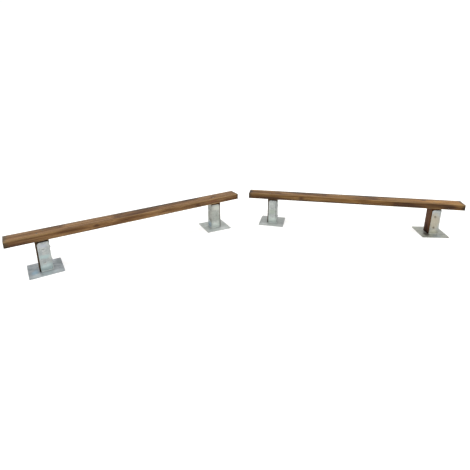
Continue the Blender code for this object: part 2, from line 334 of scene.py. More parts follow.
@dataclass(frozen=True)
class StainedSoftwood(Finish):
    """Pressure-treated pine or spruce, planed and stained brown.

    The stain takes darker in the soft early wood's pores and leaves the hard late wood as fine darker
    lines, so the eye sees long streaks, knots with a dark rim, and rings on the sawn ends.

    Attributes:
        length: Length of the piece along its grain, in metres.
        pith: Across and up from the piece's centre to the middle of the tree, in metres.
        ring: Ring spacing in metres.
        early: Hex colour of the early wood.
        late: Hex colour of the late wood.
        streak: Hex tint of the darker long streaks.
        worn: Hex colour of the weathered edges.
        end_tint: Hex tint of the sawn ends.
        knots: The knots.
        foot_tint: Hex tint that darkens the foot of a standing piece, white for none.
        half_section: Half its width and height across the grain, in metres.
        gloss: Specular level of the stain, low because the wood has soaked it up.
    """

    length: float = 2.0
    pith: tuple[float, float] = (0.010, -0.080)
    ring: float = 0.0042
    early: str = "#987850"
    late: str = "#6a4b2a"
    streak: str = "#bcab94"
    worn: str = "#9c8358"
    end_tint: str = "#8a7c6c"
    knots: tuple[Knot, ...] = ()
    foot_tint: str = "#ffffff"
    half_section: tuple[float, float] = (0.0625, 0.0265)
    gloss: float = 0.25

    DRIFT = 0.009                # how far the grain wanders, in metres
    SWIRL = (0.0, 0.004, 0.010)  # how far the grain parts round a knot, in metres
    PARTING = (3.4, 0.7)         # where it begins to part and where it parts most, in knot radii
    KNOT_RIM = (1.12, 0.88)      # soft border of a knot, in knot radii
    LATE_WOOD = (0.55, 0.90)     # where in a year's ring the late wood begins and where it is darkest
    NO_KNOT = 100.0              # distance where there is no knot, in knot radii
    EDGE_WEAR = (0.010, 0.001)   # depth in from an edge where wear begins and where it is full, in metres
    SAWN_END = (0.004, 0.001)    # the same for the tint of the sawn ends
    FOOT_BAND = (0.030, 0.004)        # the same for the darkening at the foot
    KNOT_COVER = 0.85            # how far a knot covers the rings
    WORN_COVER = 0.40            # how far wear covers an edge
    PARTED_COVER = 0.45          # how far the parted grain darkens
    IOR = 1.48                   # of an oil stain
    RELIEF = 0.30 * MM           # how far the hard late wood and the fibres stand out
    RING_RELIEF = 0.55           # height of the late wood over that of the fibres
    ROUGHNESS = (0.66, 0.50)     # on the dark and on the light streaks
    GRAINS = {
        "wander": Grain((650, 90, 90), 1.0),
        "streaks": Grain((420, 11, 11), 3.0),
        "fibres": Grain((55, 1.1, 1.1)),
        "tone": Grain((320, 95, 70)),
    }

    def tints(self) -> dict[str, tuple[tuple[float, str], ...]]:
        """Tint of the wood by each kind of unevenness.

        Returns:
            Stops of a ramp for each kind, by name.
        """
        return {
            "tone": ((0.36, self.streak), (0.50, "#eee8e0"), (0.62, "#ffffff")),
            "streaks": ((0.36, self.streak), (0.50, "#e6ddd2"), (0.62, "#ffffff")),
            "fibres": ((0.36, "#c4b8a6"), (0.58, "#ffffff")),
        }

    def knot_distance(self, tree: bpy.types.NodeTree,
                      local: bpy.types.NodeSocket) -> bpy.types.NodeSocket:
        """Distance to the nearest knot, in knot radii.

        Args:
            tree: The node tree.
            local: The piece's own coordinates.

        Returns:
            The distance's socket.
        """
        nearest = add_node(tree, "Value")
        nearest.outputs["Value"].default_value = self.NO_KNOT
        distance = nearest.outputs["Value"]
        for knot in self.knots:
            fitted = add_node(
                tree, "Mapping", {"vector_type": "TEXTURE", "Location": knot.place, "Scale": knot.reach()},
                {"Vector": local})
            here = add_node(tree, "VectorMath", {"operation": "LENGTH"}, {0: fitted.outputs["Vector"]})
            lower = add_node(
                tree, "Math", {"operation": "MINIMUM"}, {0: distance, 1: here.outputs["Value"]})
            distance = lower.outputs["Value"]
        return distance

    def rings(self, tree: bpy.types.NodeTree, local: bpy.types.NodeSocket, wander: bpy.types.NodeSocket,
              swirl: bpy.types.NodeSocket) -> bpy.types.NodeSocket:
        """Growth rings round the tree's middle, wandering along the piece.

        Args:
            tree: The node tree.
            local: The piece's own coordinates.
            wander: Slow unevenness that bends the grain.
            swirl: 1 at a knot, 0 away from it.

        Returns:
            A saw-tooth value, 0 at the start of a year's early wood and 1 at the end of its late wood.
        """
        bent = add_node(
            tree, "VectorMath", {"operation": "MULTIPLY_ADD", 1: (0.0, 2 * self.DRIFT, 4 * self.DRIFT)},
            {0: wander, 2: local})
        parted = add_node(
            tree, "VectorMath", {"operation": "MULTIPLY_ADD", 1: self.SWIRL},
            {0: swirl, 2: bent.outputs["Vector"]})
        middle = (0.0, -self.pith[0] - self.DRIFT, -self.pith[1] - 2 * self.DRIFT)
        centred = add_node(
            tree, "VectorMath", {"operation": "ADD", 1: middle}, {0: parted.outputs["Vector"]})
        wave = add_node(
            tree, "TexWave",
            {"wave_type": "RINGS", "rings_direction": "X", "wave_profile": "SAW",
             "Scale": WAVE_PERIOD / self.ring, "Distortion": 0.6, "Detail": 1.0, "Detail Scale": 0.5},
            {"Vector": centred.outputs["Vector"]})
        return wave.outputs["Fac"]

    def edge_wear(self, tree: bpy.types.NodeTree, axes: bpy.types.Node,
                  breakup: bpy.types.NodeSocket) -> bpy.types.NodeSocket:
        """Where the long edges are worn and weathered.

        Args:
            tree: The node tree.
            axes: The piece's own coordinates, separated.
            breakup: A noise that makes the wear uneven.

        Returns:
            The wear, 0 to 1.
        """
        nearness = []
        begins, full = self.EDGE_WEAR
        for axis, half in zip("YZ", self.half_section):
            size = add_node(tree, "Math", {"operation": "ABSOLUTE"}, {0: axes.outputs[axis]})
            near = add_node(
                tree, "MapRange", soft(half - begins, half - full), {"Value": size.outputs["Value"]})
            nearness.append(near.outputs["Result"])
        both = add_node(tree, "Math", {"operation": "MULTIPLY"}, {0: nearness[0], 1: nearness[1]})
        patchy = add_node(tree, "MapRange", soft(0.36, 0.62, 0.35, 1.0), {"Value": breakup})
        wear = add_node(
            tree, "Math", {"operation": "MULTIPLY"},
            {0: both.outputs["Value"], 1: patchy.outputs["Result"]})
        return wear.outputs["Value"]

    def lay(self, tree: bpy.types.NodeTree, local: bpy.types.NodeSocket, shader: bpy.types.Node) -> None:
        """Lay stained timber on the shader.

        Args:
            tree: The node tree.
            local: The piece's own coordinates, X along the grain.
            shader: The shader that takes the finish.
        """
        axes = add_node(tree, "SeparateXYZ", None, {0: local})
        distance = self.knot_distance(tree, local)
        swirl = add_node(tree, "MapRange", soft(*self.PARTING), {"Value": distance}).outputs["Result"]
        heart = add_node(
            tree, "MapRange", soft(*self.KNOT_RIM, 0.0, self.KNOT_COVER), {"Value": distance})
        uneven = self.unevenness(tree, local, self.GRAINS)
        rings = self.rings(tree, local, uneven["wander"], swirl)

        body = add_node(tree, "ValToRGB", None, {"Fac": rings})
        begins, darkest = self.LATE_WOOD
        set_ramp(body, ((0.0, self.early), (begins, self.early), (darkest, self.late), (1.0, self.early)))
        colour = self.lay_patches(tree, local, body.outputs["Color"], uneven["tone"])
        for name, stops in self.tints().items():
            ramp = add_node(tree, "ValToRGB", None, {"Fac": uneven[name]})
            set_ramp(ramp, stops)
            mixed = add_node(
                tree, "Mix", {"data_type": "RGBA", "blend_type": "MULTIPLY", MixSocket.FACTOR.value: 1.0},
                {MixSocket.A.value: colour, MixSocket.B.value: ramp.outputs["Color"]})
            colour = mixed.outputs[MixSocket.RESULT.value]

        knot = add_node(tree, "ValToRGB", None, {"Fac": distance})
        set_ramp(knot, ((0.0, "#4a2d18"), (0.55, "#6d4626"), (0.86, "#52331c"), (1.0, "#2a1a10")))
        wear = self.edge_wear(tree, axes, uneven["streaks"])
        along = add_node(tree, "Math", {"operation": "ABSOLUTE"}, {0: axes.outputs["X"]})
        end = self.length / 2
        at_end = add_node(
            tree, "MapRange", soft(end - self.SAWN_END[0], end - self.SAWN_END[1]),
            {"Value": along.outputs["Value"]})
        foot = add_node(
            tree, "MapRange", soft(self.FOOT_BAND[0] - end, self.FOOT_BAND[1] - end), {"Value": axes.outputs["X"]})
        worn = add_node(tree, "MapRange", soft(0.0, 1.0, 0.0, self.WORN_COVER), {"Value": wear})
        parted = add_node(tree, "MapRange", soft(0.0, 1.0, 0.0, self.PARTED_COVER), {"Value": swirl})
        layers = (
            ("MIX", worn, self.worn),
            ("MIX", heart, knot.outputs["Color"]),
            ("MULTIPLY", parted, "#8a6a50"),
            ("MULTIPLY", at_end, self.end_tint),
            ("MULTIPLY", foot, self.foot_tint),
        )
        for blend, factor, source in layers:
            settings = {"data_type": "RGBA", "blend_type": blend}
            links = {MixSocket.FACTOR.value: factor.outputs["Result"], MixSocket.A.value: colour}
            if isinstance(source, str):
                settings[MixSocket.B.value] = linear(source)
            else:
                links[MixSocket.B.value] = source
            colour = add_node(tree, "Mix", settings, links).outputs[MixSocket.RESULT.value]
        tree.links.new(colour, shader.inputs["Base Color"])

        rough = add_node(tree, "MapRange", soft(0.35, 0.65, *self.ROUGHNESS), {"Value": uneven["streaks"]})
        tree.links.new(rough.outputs["Result"], shader.inputs["Roughness"])
        height = add_node(
            tree, "Math", {"operation": "MULTIPLY_ADD", 1: self.RING_RELIEF},
            {0: rings, 2: uneven["fibres"]})
        relief = add_node(
            tree, "Bump", {"Strength": 0.5, "Distance": self.RELIEF}, {"Height": height.outputs["Value"]})
        tree.links.new(relief.outputs["Normal"], shader.inputs["Normal"])
        shader.inputs["IOR"].default_value = self.IOR
        shader.inputs["Specular IOR Level"].default_value = self.gloss


# ---- Steel finishes --------------------------------------------------------------------------------


@dataclass(frozen=True)
class HotDipZinc(Finish):
    """Steel dipped in molten zinc and left outdoors until it is dull.

    Crystals of a faint spangle, cloudy matt oxide and slow vertical runs break up the grey, so the eye
    sees a cool, mottled metal without a clear reflection.

    Attributes:
        dark: Hex colour of the bare crystals.
        light: Hex colour of the matt oxide.
        crystal: Size of a spangle crystal in metres.
        roughness: Roughness between the crystals and the oxide.
        runs: How strongly vertical runs show.
        spangle: How strongly the crystals show.
        metallic: How metallic it is; the matt oxide makes it less so.
    """

    dark: str = "#9da2a2"
    light: str = "#c3c7c4"
    crystal: float = 0.010
    roughness: tuple[float, float] = (0.40, 0.60)
    runs: float = 0.25
    spangle: float = 0.12
    metallic: float = 0.65

    REACH = 0.17            # half the range of unevenness from bare crystals to full oxide
    SPECKS = 0.7            # how strongly dark grit shows
    RELIEF = 0.30 * MM      # how far the clouds and the grit stand out
    GRIT_RELIEF = 0.3       # height of the grit over that of the clouds
    GRAINS = {
        "clouds": Grain((38, 38, 38), 4.0, 0.6),
        "runs": Grain((13, 13, 130)),
        "grit": Grain((1.6, 1.6, 1.6)),
    }

    def lay(self, tree: bpy.types.NodeTree, local: bpy.types.NodeSocket, shader: bpy.types.Node) -> None:
        """Lay zinc on the shader.

        Args:
            tree: The node tree.
            local: The piece's own coordinates.
            shader: The shader that takes the finish.
        """
        uneven = self.unevenness(tree, local, self.GRAINS)
        crystals = add_node(
            tree, "TexVoronoi", {"Scale": 1 / self.crystal, "Randomness": 1.0}, {"Vector": local})
        facet = add_node(tree, "SeparateColor", None, {0: crystals.outputs["Color"]}).outputs["Red"]

        bloom = add_node(
            tree, "Math", {"operation": "MULTIPLY_ADD", 1: self.spangle}, {0: facet, 2: uneven["clouds"]})
        streaked = add_node(
            tree, "Math", {"operation": "MULTIPLY_ADD", 1: self.runs},
            {0: uneven["runs"], 2: bloom.outputs["Value"]})
        middle = 0.50 + (self.spangle + self.runs) / 2
        ends = (middle - self.REACH, middle + self.REACH)
        cover = add_node(tree, "MapRange", soft(*ends), {"Value": streaked.outputs["Value"]})
        zinc = add_node(
            tree, "Mix",
            {"data_type": "RGBA", MixSocket.A.value: linear(self.dark),
             MixSocket.B.value: linear(self.light)},
            {MixSocket.FACTOR.value: cover.outputs["Result"]})
        specks = add_node(tree, "ValToRGB", None, {"Fac": uneven["grit"]})
        set_ramp(specks, ((0.30, "#d8d8d5"), (0.42, "#ffffff")))
        speckled = add_node(
            tree, "Mix", {"data_type": "RGBA", "blend_type": "MULTIPLY", MixSocket.FACTOR.value: self.SPECKS},
            {MixSocket.A.value: zinc.outputs[MixSocket.RESULT.value],
             MixSocket.B.value: specks.outputs["Color"]})
        colour = self.lay_patches(tree, local, speckled.outputs[MixSocket.RESULT.value], uneven["clouds"])
        tree.links.new(colour, shader.inputs["Base Color"])

        shader.inputs["Metallic"].default_value = self.metallic
        rough = add_node(
            tree, "MapRange", soft(*ends, *self.roughness), {"Value": streaked.outputs["Value"]})
        tree.links.new(rough.outputs["Result"], shader.inputs["Roughness"])
        height = add_node(
            tree, "Math", {"operation": "MULTIPLY_ADD", 1: self.GRIT_RELIEF},
            {0: uneven["grit"], 2: uneven["clouds"]})
        relief = add_node(
            tree, "Bump", {"Strength": 0.35, "Distance": self.RELIEF}, {"Height": height.outputs["Value"]})
        tree.links.new(relief.outputs["Normal"], shader.inputs["Normal"])


@dataclass(frozen=True)
class PlatedSteel(Finish):
    """Zinc-plated screws, bright once and now dull, with dirt where a spanner or bit has worn them.

    Attributes:
        bright: Hex colour of the plating.
        dull: Hex colour of the dirt and oxide.
        roughness: Roughness of the plating and of the dirt.
        metallic: How metallic it is under its dirt.
    """

    bright: str = "#c2c6c4"
    dull: str = "#9a9a94"
    roughness: tuple[float, float] = (0.38, 0.6)
    metallic: float = 0.6

    SOILED = (0.42, 0.62)   # unevenness where dirt begins and where it covers fully
    RELIEF = 0.08 * MM      # how far the plating's grain stands out
    GRAINS = {"dirt": Grain((4, 4, 4), 3.0, 0.6), "grain": Grain((0.7, 0.7, 0.7))}

    def lay(self, tree: bpy.types.NodeTree, local: bpy.types.NodeSocket, shader: bpy.types.Node) -> None:
        """Lay plating on the shader.

        Args:
            tree: The node tree.
            local: The piece's own coordinates.
            shader: The shader that takes the finish.
        """
        uneven = self.unevenness(tree, local, self.GRAINS)
        dirt = uneven["dirt"]
        cover = add_node(tree, "MapRange", soft(*self.SOILED), {"Value": dirt})
        mixed = add_node(
            tree, "Mix",
            {"data_type": "RGBA", MixSocket.A.value: linear(self.bright),
             MixSocket.B.value: linear(self.dull)},
            {MixSocket.FACTOR.value: cover.outputs["Result"]})
        colour = self.lay_patches(tree, local, mixed.outputs[MixSocket.RESULT.value], dirt)
        tree.links.new(colour, shader.inputs["Base Color"])
        shader.inputs["Metallic"].default_value = self.metallic
        rough = add_node(tree, "MapRange", soft(*self.SOILED, *self.roughness), {"Value": dirt})
        tree.links.new(rough.outputs["Result"], shader.inputs["Roughness"])
        relief = add_node(
            tree, "Bump", {"Strength": 0.3, "Distance": self.RELIEF}, {"Height": uneven["grain"]})
        tree.links.new(relief.outputs["Normal"], shader.inputs["Normal"])


@dataclass(frozen=True)
class StudioPaper(Finish):
    """Matt white paper floor with a little light behind it, so that its shadows stay faint.

    Attributes:
        roughness: Roughness of the paper.
        gloss: Specular level of the paper.
        glow: Strength of the light behind it.
    """

    roughness: float = 0.95
    gloss: float = 0.1
    glow: float = 0.07

    def lay(self, tree: bpy.types.NodeTree, local: bpy.types.NodeSocket, shader: bpy.types.Node) -> None:
        """Lay paper on the shader.

        Args:
            tree: The node tree.
            local: The floor's coordinates.
            shader: The shader that takes the finish.
        """
        cockle = self.unevenness(tree, local, {"cockle": Grain((900, 900, 900))})
        ramp = add_node(tree, "ValToRGB", None, {"Fac": cockle["cockle"]})
        set_ramp(ramp, ((0.3, "#fafaf9"), (0.7, "#fcfcfb")))
        tree.links.new(ramp.outputs["Color"], shader.inputs["Base Color"])
        shader.inputs["Roughness"].default_value = self.roughness
        shader.inputs["Specular IOR Level"].default_value = self.gloss
        shader.inputs["Emission Color"].default_value = linear("#ffffff")
        shader.inputs["Emission Strength"].default_value = self.glow


# ---- Mesh tools ------------------------------------------------------------------------------------


def to_mesh(work: bmesh.types.BMesh, name: str) -> bpy.types.Mesh:
    """Close a bmesh into a mesh with its faces outwards.

    Args:
        work: The bmesh, which is freed.
        name: Name of the mesh.

    Returns:
        The mesh.
    """
    bmesh.ops.recalc_face_normals(work, faces=work.faces)
    mesh = bpy.data.meshes.new(name)
    work.to_mesh(mesh)
    work.free()
    return mesh


def reshape(mesh: bpy.types.Mesh, change: Callable[[bmesh.types.BMesh], None]) -> bpy.types.Mesh:
    """Change a mesh with bmesh operators.

    Args:
        mesh: The mesh, changed in place.
        change: What is done to it.

    Returns:
        The same mesh.
    """
    work = bmesh.new()
    work.from_mesh(mesh)
    change(work)
    work.to_mesh(mesh)
    work.free()
    return mesh


def block(length: float, width: float, bottom: float, top: float) -> bmesh.types.BMesh:
    """Start a box centred on the Z axis.

    Args:
        length: Size along X.
        width: Size along Y.
        bottom: Height of its underside.
        top: Height of its top.

    Returns:
        The box as a bmesh.
    """
    work = bmesh.new()
    bmesh.ops.create_cube(work, size=1.0)
    bmesh.ops.scale(work, vec=(length, width, top - bottom), verts=work.verts)
    bmesh.ops.translate(work, vec=(0, 0, (bottom + top) / 2), verts=work.verts)
    return work


def bevel_edges(work: bmesh.types.BMesh, edges: Sequence[bmesh.types.BMEdge], width: float,
                segments: int) -> None:
    """Round some edges.

    Args:
        work: The bmesh.
        edges: The edges.
        width: Width of the rounding.
        segments: Faces across it.
    """
    bmesh.ops.bevel(
        work, geom=list(edges), offset=width, offset_type="OFFSET", affect="EDGES", segments=segments,
        profile=0.5, material=-1, clamp_overlap=True)


def rounded_block(side: float, bottom: float, top: float, corner: tuple[float, int],
                  rim: tuple[float, int]) -> bmesh.types.BMesh:
    """Start a square block on the Z axis with rounded upright edges and soft rims.

    Args:
        side: Size along X and Y.
        bottom: Height of its underside.
        top: Height of its top.
        corner: Radius of the upright edges, and faces across it.
        rim: Width of the upper and lower rims' rounding, and faces across it.

    Returns:
        The block as a bmesh.
    """
    work = block(side, side, bottom, top)
    upright = [e for e in work.edges if (e.verts[0].co.xy - e.verts[1].co.xy).length < MM]
    bevel_edges(work, upright, *corner)
    rims = [e for e in work.edges if e.calc_face_angle() > math.radians(60)]
    bevel_edges(work, rims, *rim)
    return work


def soften_rims(mesh: bpy.types.Mesh, width: float, angle: float = math.radians(50)) -> bpy.types.Mesh:
    """Round every edge that is sharper than an angle.

    Args:
        mesh: The mesh, changed in place.
        width: Width of the rounding.
        angle: The least angle between the two faces.

    Returns:
        The same mesh.
    """
    def change(work: bmesh.types.BMesh) -> None:
        """Merge the cuts' doubles, then bevel the sharp edges.

        Args:
            work: The mesh as a bmesh.
        """
        bmesh.ops.remove_doubles(work, verts=work.verts, dist=MERGE)
        bmesh.ops.dissolve_limit(
            work, angle_limit=math.radians(0.5), verts=work.verts, edges=work.edges,
            use_dissolve_boundaries=False)
        sharp = [e for e in work.edges if len(e.link_faces) == 2 and e.calc_face_angle() > angle]
        bevel_edges(work, sharp, width, 2)
    return reshape(mesh, change)


def carve(mesh: bpy.types.Mesh, cutters: Sequence[bpy.types.Mesh]) -> bpy.types.Mesh:
    """Cut other meshes out of a mesh.

    Args:
        mesh: The mesh.
        cutters: The meshes that are cut out of it, which are removed.

    Returns:
        The mesh that is left.
    """
    scene = bpy.context.scene.collection
    target = bpy.data.objects.new("carved", mesh)
    scene.objects.link(target)
    tools = []
    for index, cutter in enumerate(cutters):
        tool = bpy.data.objects.new(f"cutter_{index}", cutter)
        scene.objects.link(tool)
        tools.append(tool)
        cut = target.modifiers.new("cut", "BOOLEAN")
        cut.operation = "DIFFERENCE"
        cut.object = tool
    graph = bpy.context.evaluated_depsgraph_get()
    carved = bpy.data.meshes.new_from_object(target.evaluated_get(graph))
    carved.name = mesh.name
    for used in (target, *tools):
        bpy.data.objects.remove(used)
    for spent in (mesh, *cutters):
        bpy.data.meshes.remove(spent)
    return carved


def turned(profile: Sequence[tuple[float, float]], steps: int) -> bmesh.types.BMesh:
    """Turn a profile round the Z axis.

    Args:
        profile: Radius and height of each point, from one axis point to the other.
        steps: Faces round the axis.

    Returns:
        The turned shape as a bmesh.
    """
    work = bmesh.new()
    points = [work.verts.new((radius, 0.0, height)) for radius, height in profile]
    edges = [work.edges.new(pair) for pair in zip(points, points[1:])]
    bmesh.ops.spin(
        work, geom=points + edges, cent=(0, 0, 0), axis=(0, 0, 1), angle=math.tau, steps=steps,
        use_merge=True)
    bmesh.ops.remove_doubles(work, verts=work.verts, dist=MERGE)
    return work


def crack(length: float, width: float, depth: float, place: Point, turn: Matrix) -> bpy.types.Mesh:
    """A long thin lens that cuts a drying crack.

    Args:
        length: Length of the crack.
        width: Width of the crack at the surface.
        depth: Depth of the crack.
        place: Its middle, on the surface.
        turn: Rotation from X along the crack and Z out of the surface.

    Returns:
        The cutter.
    """
    work = bmesh.new()
    bmesh.ops.create_uvsphere(work, u_segments=14, v_segments=8, radius=1.0)
    bmesh.ops.scale(work, vec=(length / 2, width / 2, depth), verts=work.verts)
    bmesh.ops.rotate(work, cent=(0, 0, 0), matrix=turn, verts=work.verts)
    bmesh.ops.translate(work, vec=place, verts=work.verts)
    return to_mesh(work, "crack")


def show(mesh: bpy.types.Mesh, node: str, material: bpy.types.Material,
         sharp: float = 35.0) -> bpy.types.Object:
    """Show a finished mesh in place of its CAD node.

    Args:
        mesh: The mesh, already in the row frame.
        node: The CAD node that it stands for.
        material: Its material.
        sharp: Edges past this angle, in degrees, stay sharp.

    Returns:
        The piece.
    """
    mesh.name = node + "_finished"
    mesh.materials.clear()
    mesh.materials.append(material)
    mesh.shade_smooth()
    mesh.set_sharp_from_angle(angle=math.radians(sharp))
    piece = bpy.data.objects.new(node + "_finished", mesh)
    bpy.context.scene.collection.objects.link(piece)
    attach(piece, "root")
    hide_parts(node)
    LOG.info("%s: %d faces, %s", piece.name, len(mesh.polygons), material.name)
    return piece


def middle_of(node: str) -> Vector:
    """Middle of a CAD node's box."""
    low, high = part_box(node)
    return (low + high) / 2


# ---- Sub-assemblies --------------------------------------------------------------------------------


class Side(Enum):
    """Which beam of the set, seen from the open side of the V."""

    LEFT = "left"
    RIGHT = "right"


@dataclass
class Plank:
    """The walking plank of one beam.

    Attributes:
        side: Which beam it belongs to.
        yaw: Its turn from the line of the set.
        finish: Its timber.
        length: Length.
        width: Width.
        arris: Radius of its long edges.
        wander: How far the planed faces are from true.
        cracks: How many drying cracks the top has.
        screw_radius: Radius of the countersink at the plank's top.
        screw_depth: Depth of the countersink.
        seed: Seed of its cracks and of its faces' waves.
        screws: Where its screws' heads are, in the row frame.
    """

    side: Side
    yaw: float
    finish: StainedSoftwood
    length: float = 2.000
    width: float = 0.125
    arris: float = 0.003
    wander: float = 0.0006
    cracks: int = 7
    screw_radius: float = 0.0079
    screw_depth: float = 0.0062
    seed: int = 3
    screws: list[Vector] = field(default_factory=list)

    STATIONS = 48                # bays along the board, so that its faces can wave
    WAVES = (4.0, 30.0, 30.0)    # how fast the faces wave along, across and up, per metre
    CRACKED = 0.9                # cracks start within this of the middle, in metres
    FRONT_CRACKS = 4             # cracks on the front
    END_CRACKS = 3               # cracks on each sawn end
    SEAT_RIM = 0.0020            # depth of a countersink's straight rim
    HOLE_RADIUS = 0.0036         # radius of the hole under a countersink

    @property
    def node(self) -> str:
        """Name of the CAD node."""
        return self.side.value + "_plank"

    def to_row(self) -> Matrix:
        """The plank's own axes in the row frame, with the origin at its centre."""
        return Matrix.Translation(middle_of(self.node)) @ Matrix.Rotation(self.yaw, 4, "Z")

    def board(self, half_height: float) -> bpy.types.Mesh:
        """Planed board with rounded edges and faces a little out of true.

        Args:
            half_height: Half its thickness.

        Returns:
            The board, centred on the origin.
        """
        work = block(self.length, self.width, -half_height, half_height)
        bevel_edges(work, work.edges, self.arris, 4)
        for index in range(1, self.STATIONS):
            along = self.length * (index / self.STATIONS - 0.5)
            bmesh.ops.bisect_plane(
                work, geom=work.verts[:] + work.edges[:] + work.faces[:], dist=MERGE,
                plane_co=(along, 0, 0), plane_no=(1, 0, 0))
        for vertex in work.verts:
            x, y, z = (rate * size for rate, size in zip(self.WAVES, vertex.co))
            dent = noise.noise(Vector((x, y, z + self.seed)))
            inwards = self.wander * (0.5 + 0.5 * dent)
            vertex.co.y -= math.copysign(inwards, vertex.co.y)
            vertex.co.z -= math.copysign(inwards * 0.5, vertex.co.z)
        return to_mesh(work, self.node)

    def crack_cutters(self, half_height: float) -> Iterator[bpy.types.Mesh]:
        """Drying cracks on the top, the front and the two sawn ends.

        Args:
            half_height: Half the plank's thickness.

        Yields:
            One cutter for each crack.
        """
        chance = random.Random(self.seed)
        for _ in range(self.cracks):
            along = chance.uniform(-self.CRACKED, self.CRACKED)
            place = (along, chance.uniform(-0.045, 0.045), half_height)
            turn = Matrix.Rotation(math.radians(chance.uniform(-0.7, 0.7)), 3, "Z")
            yield crack(chance.uniform(0.10, 0.34), chance.uniform(0.8, 1.6) * MM, 0.006, place, turn)
        for _ in range(self.FRONT_CRACKS):
            along = chance.uniform(-self.CRACKED, self.CRACKED)
            place = (along, -self.width / 2, chance.uniform(-0.012, 0.014))
            turn = Matrix.Rotation(math.pi / 2, 3, "X")
            yield crack(chance.uniform(0.08, 0.25), chance.uniform(0.7, 1.2) * MM, 0.004, place, turn)
        for end in (-1, 1):
            for _ in range(self.END_CRACKS):
                across = chance.uniform(-0.045, 0.045)
                place = (end * self.length / 2, across, chance.uniform(-0.010, 0.016))
                lean = math.atan2(across, 0.080) + math.pi / 2
                turn = Matrix.Rotation(-lean, 3, "X") @ Matrix.Rotation(math.pi / 2, 3, "Y")
                yield crack(chance.uniform(0.014, 0.030), chance.uniform(0.7, 1.3) * MM, 0.012, place, turn)

    def countersinks(self, half_height: float) -> Iterator[bpy.types.Mesh]:
        """Countersunk seats for the plank screws.

        Args:
            half_height: Half the plank's thickness.

        Yields:
            One cutter for each screw.
        """
        back = self.to_row().inverted()
        above = half_height + 4 * MM
        floor = half_height - self.screw_depth
        for place in self.screws:
            seat = back @ place
            profile = (
                (0.0, above), (self.screw_radius, above),
                (self.screw_radius, half_height - self.SEAT_RIM), (self.HOLE_RADIUS, floor), (0.0, floor))
            work = turned(profile, 24)
            bmesh.ops.translate(work, vec=(seat.x, seat.y, 0.0), verts=work.verts)
            yield to_mesh(work, "countersink")

    def build(self) -> bpy.types.Object:
        """Build the plank and give it its timber.

        Returns:
            The piece.
        """
        low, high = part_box(self.node)
        half_height = (high.z - low.z) / 2
        cutters = [*self.crack_cutters(half_height), *self.countersinks(half_height)]
        mesh = carve(self.board(half_height), cutters)
        mesh.transform(self.to_row())
        return show(mesh, self.node, self.finish.make())


@dataclass
class CoachScrew:
    """Flanged hexagon coach screw that holds the post in its shoe.

    Attributes:
        washer_radius: Radius of the flange.
        washer_thickness: Thickness of the flange at its middle.
        hex_radius: Corner radius of the hexagon.
        hex_height: Height of the hexagon above the flange.
        shank_radius: Radius of the shank.
        core_radius: Radius between the threads.
        length: Length under the flange.
        pitch: Distance from thread to thread.
        neck: Length of the plain shank under the flange.
        tip: Least length of the point.
    """

    washer_radius: float = 0.0085
    washer_thickness: float = 0.0015
    hex_radius: float = 0.0075
    hex_height: float = 0.0055
    shank_radius: float = 0.0040
    core_radius: float = 0.0030
    length: float = 0.040
    pitch: float = 0.0036
    neck: float = 0.006
    tip: float = 0.008

    def shank(self) -> list[tuple[float, float]]:
        """Profile of the threaded shank, from under the flange down to the point.

        Returns:
            Radius and height of each point.
        """
        points = [(self.shank_radius, 0.0), (self.shank_radius, -self.neck)]
        height = -self.neck - 1.0 * MM
        while height > self.tip - self.length:
            points += [(self.core_radius, height), (self.shank_radius, height - self.pitch / 2)]
            height -= self.pitch
        return points + [(self.core_radius, height), (0.0, -self.length)]

    def mesh(self) -> bpy.types.Mesh:
        """The screw, with its flange seated at z = 0 and its head towards +Z.

        Returns:
            The mesh.
        """
        thick = self.washer_thickness
        rim = self.washer_radius
        profile = [
            (0.0, thick), (0.80 * rim, thick), (0.97 * rim, 0.55 * thick), (rim, 0.35 * thick),
            (rim, 0.0)] + self.shank()
        work = turned(profile, 20)
        before = set(work.verts)
        bmesh.ops.create_cone(
            work, cap_ends=True, segments=6, radius1=self.hex_radius, radius2=self.hex_radius,
            depth=self.hex_height)
        head = [v for v in work.verts if v not in before]
        bmesh.ops.translate(work, vec=(0, 0, 0.6 * thick + self.hex_height / 2), verts=head)
        top = max(v.co.z for v in head)
        crown = [e for v in head for e in v.link_edges if all(abs(w.co.z - top) < MERGE for w in e.verts)]
        bevel_edges(work, list(dict.fromkeys(crown)), 0.7 * MM, 3)
        least = 0.6 * self.hex_height
        upright = [e for e in work.edges if abs(e.verts[0].co.z - e.verts[1].co.z) > least]
        bevel_edges(work, upright, 0.35 * MM, 2)
        return to_mesh(work, "coach_screw")


